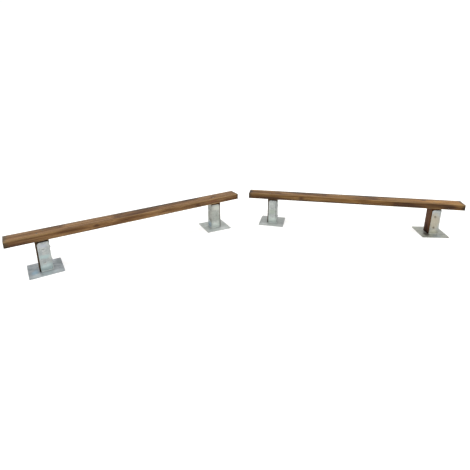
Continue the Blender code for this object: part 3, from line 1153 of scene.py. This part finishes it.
@dataclass
class PlankScrew:
    """Long countersunk timber screw with a six-lobed recess.

    Attributes:
        head_radius: Radius of the head.
        head_depth: Depth of its cone.
        rim: Height of its straight rim.
        shank_radius: Radius of the shank.
        core_radius: Radius between the threads.
        length: Whole length.
        recess_radius: Radius of the recess's lobes.
        recess_depth: Depth of the recess.
        pitch: Distance from thread to thread.
        neck: Depth under its head at which the thread starts.
        tip: Least length of the point.
        chamfer: Width of the rounding round the head.
        lobing: How deep the gaps between the lobes are, over their radius.
    """

    head_radius: float = 0.0075
    head_depth: float = 0.0045
    rim: float = 0.0008
    shank_radius: float = 0.0035
    core_radius: float = 0.0026
    length: float = 0.140
    recess_radius: float = 0.0033
    recess_depth: float = 0.0024
    pitch: float = 0.0042
    neck: float = 0.062
    tip: float = 0.010
    chamfer: float = 0.0003
    lobing: float = 0.14

    def mesh(self) -> bpy.types.Mesh:
        """The screw, with the top of its head at z = 0, pointing down.

        Returns:
            The mesh.
        """
        points = [
            (0.0, 0.0), (self.head_radius - self.chamfer, 0.0), (self.head_radius, -self.chamfer),
            (self.head_radius, -self.rim), (self.shank_radius, -self.head_depth),
            (self.shank_radius, -self.neck)]
        height = -self.neck - 2.0 * MM
        while height > self.tip - self.length:
            points += [(self.core_radius, height), (self.shank_radius, height - self.pitch / 2)]
            height -= self.pitch
        points += [(self.core_radius, height), (0.0, -self.length)]
        work = turned(points, 24)
        top = [f for f in work.faces if all(abs(v.co.z) < MERGE for v in f.verts)]
        crown = bmesh.ops.dissolve_faces(work, faces=top)["region"]
        bmesh.ops.inset_region(work, faces=crown, thickness=self.head_radius - self.recess_radius)
        recess = [f for f in crown if f.is_valid]
        for vertex in {v for f in recess for v in f.verts}:
            angle = math.atan2(vertex.co.y, vertex.co.x)
            radius = self.recess_radius * (1.0 - self.lobing + self.lobing * math.cos(6 * angle))
            vertex.co.x = radius * math.cos(angle)
            vertex.co.y = radius * math.sin(angle)
        pushed = bmesh.ops.extrude_discrete_faces(work, faces=recess)["faces"]
        floor = {v for f in pushed for v in f.verts}
        bmesh.ops.translate(work, vec=(0, 0, -self.recess_depth), verts=list(floor))
        bmesh.ops.remove_doubles(work, verts=work.verts, dist=FINE_MERGE)
        return to_mesh(work, "plank_screw")


@dataclass
class Shoe:
    """Post, galvanised channel, base plate, weld and screws of one foot.

    The shoe's own axes have their origin on the ground under the post, X towards the channel's open
    side, and Y across the two flanges.

    Attributes:
        prefix: Start of its node names.
        yaw: Its turn in the row frame.
        post_finish: Timber of the post.
        channel_finish: Zinc on the channel.
        plate_finish: Zinc on the base plate.
        seed: Seed of the post's cracks.
        opens_left: Whether its channel is open to the left; its front flange is then the one at +Y.
        gap: Gap between any two pieces.
        post_side: Side of the square post.
        post_arris: Radius of its long edges.
        post_rim: Rounding of its sawn ends' rims.
        steel: Thickness of the channel's sheet.
        bend_radius: Inner radius of its bends.
        channel_leg: Depth of the channel, its web included.
        flange_corner: Radius of its free top corners.
        notch_radius: Radius of the relief notches at the bends.
        notch_depth: Depth of these notches.
        plate_side: Side of the base plate.
        plate_corner: Radius of its corners.
        plate_rim: Rounding of its upper and lower rims.
        sheet_rim: Rounding of the channel's edges.
        weld_radius: Radius of the weld bead.
        weld_stop: How far the weld stops short of the free edges.
        ripple: Length of three steps of the bead.
        hole_radius: Radius of the holes for coach screws.
        screw_heights: Heights of the coach screws.
        plank_screw_offset: Place of the plank screws from the post's axis, each way.
        plank_screw_sink: Depth of their heads under the plank's top.
    """

    prefix: str
    yaw: float
    post_finish: StainedSoftwood
    channel_finish: HotDipZinc
    plate_finish: HotDipZinc
    seed: int
    opens_left: bool = True
    gap: float = 0.0003
    post_side: float = 0.090
    post_arris: float = 0.004
    post_rim: float = 0.001
    steel: float = 0.005
    bend_radius: float = 0.003
    channel_leg: float = 0.085
    flange_corner: float = 0.020
    notch_radius: float = 0.004
    notch_depth: float = 0.014
    plate_side: float = 0.245
    plate_corner: float = 0.006
    plate_rim: float = 0.0008
    sheet_rim: float = 0.0006
    weld_radius: float = 0.0028
    weld_stop: float = 0.004
    ripple: float = 0.0016
    hole_radius: float = 0.0046
    screw_heights: tuple[float, float] = (0.071, 0.179)
    plank_screw_offset: float = 0.022
    plank_screw_sink: float = 0.001

    def __post_init__(self) -> None:
        """Work out the channel's faces from the post."""
        self.inner_face = self.post_side / 2 + self.gap
        self.outer_face = self.inner_face + self.steel
        self.free_edge = self.channel_leg - self.outer_face

    def axis(self) -> Matrix:
        """The shoe's own axes in the row frame."""
        middle = middle_of(self.prefix + "_post")
        return Matrix.Translation((middle.x, middle.y, 0.0)) @ Matrix.Rotation(self.yaw, 4, "Z")

    def plank_screw_seats(self, plank_top: float) -> list[Vector]:
        """Where the two plank screws' heads are, in the row frame.

        Args:
            plank_top: Height of the plank's top.

        Returns:
            The top of each head.
        """
        step = self.plank_screw_offset
        height = plank_top - self.plank_screw_sink
        return [self.axis() @ Vector((way * step, way * step, height)) for way in (-1, 1)]

    def post(self) -> bpy.types.Object:
        """Square post, its long edges rounded, with drying cracks on its faces.

        Returns:
            The piece.
        """
        node = self.prefix + "_post"
        low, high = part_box(node)
        work = rounded_block(self.post_side, low.z, high.z, (self.post_arris, 5), (self.post_rim, 2))
        chance = random.Random(self.seed)
        half = self.post_side / 2
        cutters = []
        for quarter in range(4):
            spin = Matrix.Rotation(quarter * math.pi / 2, 3, "Z")
            for _ in range(2):
                place = spin @ Vector((half, chance.uniform(-0.025, 0.025), chance.uniform(0.08, 0.22)))
                turn = spin @ Matrix.Rotation(math.pi / 2, 3, "Y")
                length = chance.uniform(0.05, 0.14)
                cutters.append(crack(length, chance.uniform(0.8, 1.5) * MM, 0.005, place, turn))
        mesh = carve(to_mesh(work, node), cutters)
        mesh.transform(self.axis())
        return show(mesh, node, self.post_finish.make())

    def channel_sheet(self, bottom: float, top: float) -> bpy.types.Mesh:
        """Bent sheet, open on one side, with rounded free corners at the top.

        Args:
            bottom: Height of its lower edge.
            top: Height of its upper edge.

        Returns:
            The sheet with its thickness, before its holes.
        """
        work = bmesh.new()
        half = self.inner_face
        corners = ((self.free_edge, half), (-half, half), (-half, -half), (self.free_edge, -half))
        foot = [work.verts.new((x, y, bottom)) for x, y in corners]
        edges = [work.edges.new(pair) for pair in zip(foot, foot[1:])]
        raised = bmesh.ops.extrude_edge_only(work, edges=edges)["geom"]
        upper = [item for item in raised if isinstance(item, bmesh.types.BMVert)]
        bmesh.ops.translate(work, vec=(0, 0, top - bottom), verts=upper)
        bends = [e for e in work.edges if len(e.link_faces) == 2]
        bevel_edges(work, bends, self.bend_radius, 6)
        free = [v for v in work.verts if v.co.x > self.free_edge - MM and v.co.z > top - MM]
        bmesh.ops.bevel(
            work, geom=free, offset=self.flange_corner, affect="VERTICES", segments=10, profile=0.5,
            material=-1)
        bmesh.ops.recalc_face_normals(work, faces=work.faces)
        web = min(work.faces, key=lambda f: f.calc_center_median().x)
        outwards = -1.0 if web.normal.x < 0 else 1.0
        bmesh.ops.solidify(work, geom=work.faces[:], thickness=outwards * self.steel)
        return to_mesh(work, "channel")

    def channel_cutters(self, top: float) -> Iterator[bpy.types.Mesh]:
        """Relief notches at the top of the two bends, and the screw holes.

        Args:
            top: Height of the channel's upper edge.

        Yields:
            One cutter for each opening.
        """
        bend = -(self.inner_face - self.bend_radius)
        for side in (-1, 1):
            work = bmesh.new()
            bmesh.ops.create_cone(
                work, cap_ends=True, segments=20, radius1=self.notch_radius, radius2=self.notch_radius,
                depth=4 * self.steel)
            level = Matrix.Rotation(math.pi / 2, 3, "Y")
            bmesh.ops.rotate(work, cent=(0, 0, 0), matrix=level, verts=work.verts)
            crest = [v for v in work.verts if v.co.z > 0]
            bmesh.ops.translate(work, vec=(0, 0, 2 * self.notch_depth), verts=crest)
            sunk = (2 * self.steel, 0, self.notch_radius - self.notch_depth)
            bmesh.ops.translate(work, vec=sunk, verts=work.verts)
            outwards = Matrix.Rotation(math.radians(180 - 45 * side), 3, "Z")
            bmesh.ops.rotate(work, cent=(0, 0, 0), matrix=outwards, verts=work.verts)
            bmesh.ops.translate(work, vec=(bend, -bend * side, top), verts=work.verts)
            yield to_mesh(work, "notch")
        for seat, turn in self.screw_places():
            work = bmesh.new()
            bmesh.ops.create_cone(
                work, cap_ends=True, segments=20, radius1=self.hole_radius, radius2=self.hole_radius,
                depth=4 * self.steel)
            hole = to_mesh(work, "hole")
            hole.transform(Matrix.Translation(seat) @ turn)
            yield hole

    def screw_places(self) -> Iterator[tuple[Vector, Matrix]]:
        """Where the six coach screws sit: front, back and web, lower before upper.

        Yields:
            The seat and the rotation of each screw.
        """
        seat = self.outer_face + self.gap
        front = 1 if self.opens_left else -1
        faces = (
            (Vector((0, front * seat, 0)), Matrix.Rotation(-front * math.pi / 2, 4, "X")),
            (Vector((0, -front * seat, 0)), Matrix.Rotation(front * math.pi / 2, 4, "X")),
            (Vector((-seat, 0, 0)), Matrix.Rotation(-math.pi / 2, 4, "Y")),
        )
        for place, turn in faces:
            for height in self.screw_heights:
                yield place + Vector((0, 0, height)), turn

    def channel(self) -> bpy.types.Object:
        """Galvanised channel round the foot of the post.

        Returns:
            The piece.
        """
        node = self.prefix + "_channel"
        low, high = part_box(node)
        mesh = carve(self.channel_sheet(low.z, high.z), list(self.channel_cutters(high.z)))
        soften_rims(mesh, self.sheet_rim)
        mesh.transform(self.axis())
        return show(mesh, node, self.channel_finish.make())

    def base_plate(self) -> bpy.types.Object:
        """Square base plate with rounded corners and a soft rim.

        Returns:
            The piece.
        """
        node = self.prefix + "_base_plate"
        low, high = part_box(node)
        work = rounded_block(self.plate_side, low.z, high.z, (self.plate_corner, 6), (self.plate_rim, 3))
        mesh = to_mesh(work, node)
        mesh.transform(self.axis())
        return show(mesh, node, self.plate_finish.make())

    def weld_path(self) -> list[tuple[float, float]]:
        """Route of the weld round the channel's foot, in short even steps.

        Returns:
            X and Y of each point, in the shoe's own axes.
        """
        step = self.ripple / 3
        face = self.outer_face + self.gap + 0.6 * self.weld_radius
        bend = self.steel + self.bend_radius
        inset = face - bend
        straight = self.free_edge - self.weld_stop + inset
        quarter = bend * math.pi / 2
        runs = (straight, quarter, 2 * inset, quarter, straight)
        path = []
        place = Vector((self.free_edge - self.weld_stop, face))
        heading = math.pi
        for index, run in enumerate(runs):
            count = max(2, round(run / step))
            for _ in range(count):
                path.append((place.x, place.y))
                if index % 2:
                    heading += math.pi / 2 / count
                place = place + Vector((math.cos(heading), math.sin(heading))) * (run / count)
        return path

    def weld(self) -> bpy.types.Object:
        """Fillet weld, its bead rippled like overlapping scales.

        Returns:
            The piece.
        """
        node = self.prefix + "_weld"
        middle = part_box(self.prefix + "_base_plate")[1].z + 0.55 * self.weld_radius
        path = self.weld_path()
        curve = bpy.data.curves.new(node, "CURVE")
        curve.dimensions = "3D"
        curve.bevel_depth = self.weld_radius
        curve.bevel_resolution = 3
        curve.use_fill_caps = True
        spline = curve.splines.new("POLY")
        spline.points.add(len(path) - 1)
        for index, (point, (x, y)) in enumerate(zip(spline.points, path)):
            point.co = (x, y, middle, 1.0)
            uneven = noise.noise(Vector((0.05 * index, self.seed, 0.0)))
            point.radius = 0.90 + 0.08 * abs(math.sin(math.pi * index / 6)) + 0.10 * uneven
        run = bpy.data.objects.new(node + "_run", curve)
        bpy.context.scene.collection.objects.link(run)
        mesh = bpy.data.meshes.new_from_object(run.evaluated_get(bpy.context.evaluated_depsgraph_get()))
        bpy.data.objects.remove(run)
        reshape(mesh, lambda work: bmesh.ops.remove_doubles(work, verts=work.verts, dist=FINE_MERGE))
        mesh.transform(self.axis())
        # painted light: the bead is lighter than the channel, offsetting the shade in the crease at the
        # channel's foot
        finish = HotDipZinc(
            "galvanised_weld_bead", dark="#b9bebd", light="#d2d6d3", crystal=0.004, runs=0.0)
        return show(mesh, node, finish.make(), 60.0)

    def screws(self, coach: bpy.types.Mesh, long: bpy.types.Mesh, plating: bpy.types.Material,
               coating: bpy.types.Material, plank_top: float) -> None:
        """Coach screws of the channel and the two plank screws.

        Args:
            coach: Mesh of a coach screw.
            long: Mesh of a plank screw.
            plating: Material of the coach screws.
            coating: Material of the plank screws.
            plank_top: Height of the plank's top.
        """
        names = [f"screw_{face}_{level}" for face in ("front", "back", "web") for level in ("lower", "upper")]
        chance = random.Random(self.seed)
        for name, (seat, turn) in zip(names, self.screw_places()):
            mesh = coach.copy()
            spin = Matrix.Rotation(chance.uniform(0, math.tau), 4, "Z")
            mesh.transform(self.axis() @ Matrix.Translation(seat) @ turn @ spin)
            show(mesh, f"{self.prefix}_{name}", plating)
        for name, seat in zip("ab", self.plank_screw_seats(plank_top)):
            mesh = long.copy()
            mesh.transform(Matrix.Translation(seat) @ Matrix.Rotation(chance.uniform(0, math.tau), 4, "Z"))
            show(mesh, f"{self.prefix}_plank_screw_{name}", coating)


# ---- Studio ----------------------------------------------------------------------------------------


@dataclass
class SoftSun:
    """Even light from one side of the room, as soft as a wide diffuser.

    Attributes:
        name: Its name.
        tilt: Its angle from straight overhead, towards its side.
        side: Compass turn of that side, 0 towards -Y.
        spread: Angle that the diffuser fills.
        strength: Its strength.
    """

    name: str
    tilt: float
    side: float
    spread: float
    strength: float

    def hang(self) -> None:
        """Make the light."""
        data = bpy.data.lights.new(self.name, "SUN")
        data.angle = self.spread
        data.energy = self.strength
        light = bpy.data.objects.new(self.name, data)
        light.rotation_euler = (self.tilt, 0.0, self.side)
        light.location = (0.0, 0.0, 3.0)
        bpy.context.scene.collection.objects.link(light)


@dataclass
class Studio:
    """Pale floor, soft light and the camera.

    Attributes:
        floor_side: Side of the square floor.
        eye: Where the camera stands.
        tilt: Its angle up from straight down.
        heading: Its turn about the upright, clockwise negative.
        lens: Focal length in millimetres.
        sensor: Width of the sensor in millimetres.
        rise: Upward shift of the view, as a part of its width.
        front_light: Strength of the room's light from the front of the beams.
        back_light: Its strength from behind them.
        light_turn: Where it begins to grow and where it is full, along Y.
    """

    floor_side: float = 120.0
    eye: Point = (-0.741, -2.986, 1.452)
    tilt: float = math.radians(72.82)
    heading: float = math.radians(-11.25)
    lens: float = 27.146
    sensor: float = 36.0
    rise: float = -0.1074
    front_light: float = 0.47
    back_light: float = 1.04
    light_turn: tuple[float, float] = (-0.9, 0.35)

    def floor(self) -> None:
        """Plain pale floor."""
        work = bmesh.new()
        bmesh.ops.create_grid(work, x_segments=1, y_segments=1, size=self.floor_side / 2)
        mesh = to_mesh(work, "floor")
        mesh.materials.append(StudioPaper("white_studio_paper").make())
        floor = bpy.data.objects.new("floor", mesh)
        bpy.context.scene.collection.objects.link(floor)
        floor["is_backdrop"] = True

    def sky(self) -> None:
        """Even room light, dimmer from the front of the beams, in a room whose walls look plain white."""
        world = bpy.data.worlds.new("soft_room")
        bpy.context.scene.world = world
        world.use_nodes = True
        tree = world.node_tree
        tree.nodes.clear()
        direction = add_node(tree, "TexCoord").outputs["Generated"]
        parts = add_node(tree, "SeparateXYZ", None, {0: direction})
        strength = add_node(
            tree, "MapRange", soft(*self.light_turn, self.front_light, self.back_light),
            {"Value": parts.outputs["Y"]})
        seen = add_node(tree, "LightPath").outputs["Is Camera Ray"]
        plain = add_node(
            tree, "Math", {"operation": "MAXIMUM"}, {0: strength.outputs["Result"], 1: seen})
        background = add_node(
            tree, "Background", {"Color": linear("#ffffff")}, {"Strength": plain.outputs["Value"]})
        add_node(tree, "OutputWorld", None, {"Surface": background.outputs["Background"]})

    def camera(self) -> None:
        """Camera at the viewing place."""
        data = bpy.data.cameras.new("camera")
        data.lens = self.lens
        data.sensor_width = self.sensor
        data.shift_y = self.rise
        data.clip_end = 200.0
        camera = bpy.data.objects.new("camera", data)
        camera.location = self.eye
        camera.rotation_euler = (self.tilt, 0.0, self.heading)
        bpy.context.scene.collection.objects.link(camera)
        bpy.context.scene.camera = camera

    def build(self) -> None:
        """Set up the whole studio."""
        self.floor()
        self.sky()
        self.camera()
        diffuser = SoftSun(
            "overhead_diffuser", tilt=math.radians(14), side=math.radians(-20), spread=math.radians(70),
            strength=1.95)
        diffuser.hang()
        bpy.context.scene.view_settings.view_transform = "Standard"


# ---- The set ---------------------------------------------------------------------------------------

BEAM_YAW = math.radians(21.4)
BEAMS = ((Side.LEFT, BEAM_YAW, 23), (Side.RIGHT, -BEAM_YAW, 11))    # its side, turn and seed


@dataclass(frozen=True)
class ShoePlan:
    """How one shoe was set, how its surfaces have aged, and where light and shade are painted on them.

    Attributes:
        twist: Twist of the hand-set post about its own axis.
        opens_left: Whether its channel is open to the left.
        channel: Areas of another colour on the channel, painted light and shade among them.
        plate: Areas of another colour on the base plate, painted light and shade among them.
        post: Areas of another colour on the post, X along its grain, painted shade among them.
        plate_tones: Darker and lighter colour of the base plate.
        channel_tones: Darker and lighter colour of the channel.
        screw_tones: Colour of the coach screws and of the dirt on them.
        seed: Seed of its cracks and of its screws' turns.
    """

    twist: float
    opens_left: bool
    channel: tuple[Patch, ...] = ()
    plate: tuple[Patch, ...] = ()
    post: tuple[Patch, ...] = ()
    plate_tones: tuple[str, str] = ("#979c9d", "#bbbfbe")
    channel_tones: tuple[str, str] = ("#969b9b", "#b8bcb9")
    screw_tones: tuple[str, str] = ("#c6cac9", "#a6a7a2")
    seed: int = 42


SHOES = {
    "left_outer": ShoePlan(
        math.radians(0.5), True,
        channel=(
            Patch((-0.01, 0.050, 0.125), (0.05, 0.03, 0.020), "#a9c4c4", 0.5),
            # painted light: lightens the foot of the flange, offsetting the shade near the plate
            Patch((-0.01, 0.050, 0.022), (0.09, 0.03, 0.055), "#cbdcdb", 0.75),
            Patch((0.00, 0.050, 0.215), (0.05, 0.03, 0.020), "#b3b8c4", 0.5)),
        plate=(
            Patch((0.075, 0.040, 0.005), (0.030, 0.050, 0.02), "#86a8bc", 0.6),
            # painted light: lightens the plate's strip in front of the flange
            Patch((0.0, 0.095, 0.005), (0.14, 0.045, 0.02), "#bcc4c6", 0.8),
            Patch((-0.100, -0.060, 0.005), (0.040, 0.060, 0.02), "#686f70", 0.7)),
        # painted shade: darkens the whole post
        post=(Patch((0.0, 0.0, 0.0), (0.40, 0.30, 0.30), "#3b3a30", 0.75),),
        plate_tones=("#787e81", "#999fa2")),
    "left_inner": ShoePlan(
        math.radians(-5.5), False,
        channel=(
            # painted shade: darkens the web
            Patch((-0.050, 0.0, 0.135), (0.012, 0.060, 0.16), "#7d7f77", 0.75),
            # painted light: a bluish lightening at the foot of the web
            Patch((-0.050, 0.0, 0.020), (0.012, 0.060, 0.055), "#a3b6c4", 0.8),
            Patch((0.0, -0.050, 0.215), (0.06, 0.02, 0.050), "#cacbc0", 0.55),
            # painted light: lightens the foot of the flange, offsetting the shade near the plate
            Patch((0.0, -0.050, 0.024), (0.09, 0.02, 0.060), "#dce4de", 0.85)),
        # painted light: lightens the plate's strip in front of the flange
        plate=(Patch((0.0, -0.095, 0.005), (0.14, 0.045, 0.02), "#ccd0ce", 0.8),),
        plate_tones=("#90958f", "#b0b5b1"),
        channel_tones=("#8f938d", "#b0b3ac")),
    "right_inner": ShoePlan(
        math.radians(-3.5), True,
        channel=(
            Patch((0.0, 0.050, 0.125), (0.05, 0.02, 0.030), "#a0ab98", 0.5),
            # painted shadow: a thin dark line along the front flange beside the bend
            Patch((-0.040, 0.050, 0.130), (0.006, 0.02, 0.18), "#676a66", 0.7),
            # painted light: lightens the foot of the flange, offsetting the shade near the plate
            Patch((0.0, 0.050, 0.024), (0.09, 0.02, 0.060), "#d2ddd6", 0.85)),
        # painted shade: darkens the whole post
        post=(Patch((0.0, 0.0, 0.0), (0.40, 0.30, 0.30), "#454237", 0.6),),
        # painted light: lightens the plate's strip in front of the flange
        plate=(Patch((0.0, 0.095, 0.005), (0.14, 0.045, 0.02), "#bfc3c1", 0.8),),
        plate_tones=("#858987", "#a1a5a1"),
        seed=41),
    "right_outer": ShoePlan(
        math.radians(7.0), True,
        channel=(
            Patch((0.0, 0.050, 0.120), (0.06, 0.02, 0.110), "#b3a68a", 0.6),
            # painted light: lightens the foot of the flange, offsetting the shade near the plate
            Patch((0.0, 0.050, 0.018), (0.07, 0.02, 0.040), "#d5d2ba", 0.8)),
        plate=(
            Patch((0.065, 0.060, 0.005), (0.030, 0.036, 0.02), "#54463a", 0.6),
            # painted shadow: a bluish dark strip on the plate in front of the flange
            Patch((-0.010, 0.095, 0.005), (0.060, 0.040, 0.02), "#8d979b", 0.6)),
        plate_tones=("#85877f", "#a5a79d"),
        screw_tones=("#989282", "#6f6858"),
        seed=41),
}


def plank_finish(side: Side) -> StainedSoftwood:
    """Timber of a plank.

    Args:
        side: Which beam.

    Returns:
        The finish, with that plank's knots and patches.
    """
    name = side.value + "_plank_stained_softwood"
    middle = tuple(middle_of(side.value + "_plank"))
    shaded = (
        Patch((0.0, 0.080, 0.0265), (1.6, 0.050, 0.034), "#3a382d", 0.90),
        Patch((0.0, -0.0625, -0.036), (1.6, 0.040, 0.026), "#4f3b26", 0.70),
    )
    if side is Side.LEFT:
        return StainedSoftwood(
            name, middle, (0.0, 0.0, BEAM_YAW), pith=(0.012, -0.070), start=(0.35, 0.02, 0.0),
            patches=(
                *shaded,
                Patch((-0.88, -0.048, 0.0265), (0.30, 0.020, 0.012), "#a07e4c", 0.45),
                Patch((0.86, 0.0, 0.0265), (0.26, 0.090, 0.012), "#84694a", 0.45),
                Patch((-0.90, -0.0625, 0.0), (0.22, 0.012, 0.10), "#674720", 0.65),
                Patch((-0.22, -0.0625, 0.000), (0.70, 0.012, 0.034), "#a8865a", 0.65),
                Patch((0.92, -0.0625, 0.0), (0.22, 0.012, 0.10), "#6f4c26", 0.50),
                Patch((0.72, -0.0625, 0.0), (0.09, 0.02, 0.03), "#74432b", 0.6),
                Patch((0.62, -0.0625, -0.020), (0.46, 0.012, 0.014), "#b39a72", 0.60),
                Patch((-0.20, -0.0625, -0.020), (0.20, 0.012, 0.014), "#b39a72", 0.40),
                Patch((-1.0, 0.0, 0.0), (0.032, 0.40, 0.40), "#5a5742", 0.70),
                Patch((1.0, 0.0, 0.0), (0.024, 0.40, 0.40), "#4e483d", 0.70)),
            knots=(
                Knot((-0.62, 0.022, 0.0), 0.011), Knot((-0.18, -0.018, 0.0), 0.013),
                Knot((0.31, 0.030, 0.0), 0.009), Knot((0.74, -0.006, 0.0), 0.012),
                Knot((-0.36, 0.0, 0.004), 0.008, KnotAxis.ACROSS),
                Knot((0.55, 0.0, -0.003), 0.009, KnotAxis.ACROSS)))
    return StainedSoftwood(
        name, middle, (0.0, 0.0, -BEAM_YAW), pith=(-0.012, -0.070), start=(2.60, 0.11, 0.05),
        early="#9e7d49", late="#73522b",
        patches=(
            *shaded,
            Patch((0.85, 0.0, 0.0265), (0.40, 0.08, 0.012), "#cfa562", 0.72),
            Patch((0.66, -0.0625, 0.0), (0.44, 0.012, 0.10), "#674515", 0.72),
            Patch((-0.90, -0.0625, 0.0), (0.40, 0.012, 0.10), "#5f431f", 0.65),
            # painted shade: darkens the lower part of the front face
            Patch((0.0, -0.0625, -0.032), (1.6, 0.030, 0.044), "#382712", 0.52),
            Patch((0.10, -0.0625, 0.008), (0.34, 0.012, 0.026), "#a5824b", 0.70),
            # partly painted shade: darkens the right end, where the end grain takes the stain darker and
            # painted shade lies over it
            Patch((1.0, 0.0, -0.02), (0.036, 0.40, 0.10), "#2b261d", 0.90),
            Patch((-1.0, 0.0, 0.0), (0.036, 0.40, 0.40), "#453f33", 0.80)),
        knots=(
            Knot((-0.71, -0.012, 0.0), 0.011), Knot((-0.25, 0.024, 0.0), 0.010),
            Knot((0.22, -0.022, 0.0), 0.013), Knot((0.66, 0.016, 0.0), 0.010),
            Knot((-0.48, 0.0, 0.002), 0.009, KnotAxis.ACROSS),
            Knot((0.40, 0.0, -0.004), 0.008, KnotAxis.ACROSS)))


def post_finish(prefix: str, yaw: float, plan: ShoePlan) -> StainedSoftwood:
    """Timber of a post, its grain upright.

    Args:
        prefix: Start of the shoe's node names.
        yaw: The post's turn.
        plan: How the shoe has aged, and the shade painted on its post.

    Returns:
        The finish.
    """
    low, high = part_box(prefix + "_post")
    return StainedSoftwood(
        prefix + "_post_stained_softwood", tuple(middle_of(prefix + "_post")), (0.0, -math.pi / 2, yaw),
        length=high.z - low.z, pith=(0.012, 0.020), early="#694320", late="#40260f", streak="#b09c84",
        worn="#6e5232", end_tint="#9a8a78", half_section=(0.045, 0.045), foot_tint="#8d8074",
        patches=plan.post, start=(0.2 * yaw, 0.1 * yaw, 0.0), gloss=0.10)


def make_shoe(prefix: str, plan: ShoePlan, beam_yaw: float) -> Shoe:
    """Plan one shoe with its finishes.

    Args:
        prefix: Start of its node names.
        plan: How it was set, how it has aged, and where light and shade are painted on it.
        beam_yaw: Turn of its beam.

    Returns:
        The shoe, not built yet.
    """
    yaw = beam_yaw + plan.twist + (math.pi if plan.opens_left else 0.0)
    foot = (*middle_of(prefix + "_post").xy, 0.0)
    channel = HotDipZinc(
        prefix + "_channel_hot_dip_zinc", foot, (0.0, 0.0, yaw), plan.channel,
        start=(yaw, 0.3 * yaw, 0.0), dark=plan.channel_tones[0], light=plan.channel_tones[1])
    plate = HotDipZinc(
        prefix + "_plate_hot_dip_zinc", foot, (0.0, 0.0, yaw), plan.plate,
        start=(0.5 * yaw, yaw, 0.0), dark=plan.plate_tones[0], light=plan.plate_tones[1],
        roughness=(0.30, 0.46), runs=0.0, spangle=0.08)
    return Shoe(prefix, yaw, post_finish(prefix, yaw, plan), channel, plate, plan.seed, plan.opens_left)


def main() -> None:
    """Build the set and the studio."""
    logging.basicConfig(level=logging.INFO, format="%(message)s")
    coach = CoachScrew().mesh()
    long = PlankScrew().mesh()
    coating = PlatedSteel("coated_timber_screw", bright="#857f6c", dull="#4a4336").make()
    for side, yaw, seed in BEAMS:
        plank = Plank(side, yaw, plank_finish(side), seed=seed)
        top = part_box(plank.node)[1].z
        own = [(prefix, plan) for prefix, plan in SHOES.items() if prefix.startswith(side.value)]
        for prefix, plan in own:
            shoe = make_shoe(prefix, plan, yaw)
            shoe.post()
            shoe.channel()
            shoe.base_plate()
            shoe.weld()
            plating = PlatedSteel(
                prefix + "_coach_screw_zinc", bright=plan.screw_tones[0], dull=plan.screw_tones[1])
            shoe.screws(coach, long, plating.make(), coating, top)
            plank.screws += shoe.plank_screw_seats(top)
        plank.build()
    for spent in (coach, long):
        bpy.data.meshes.remove(spent)
    Studio().build()
    boxes = {"cad": CAD_BOX, "visual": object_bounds()}
    {name: [list(corner) for corner in box] for name, box in boxes.items()}


if __name__ == "__main__":
    main()
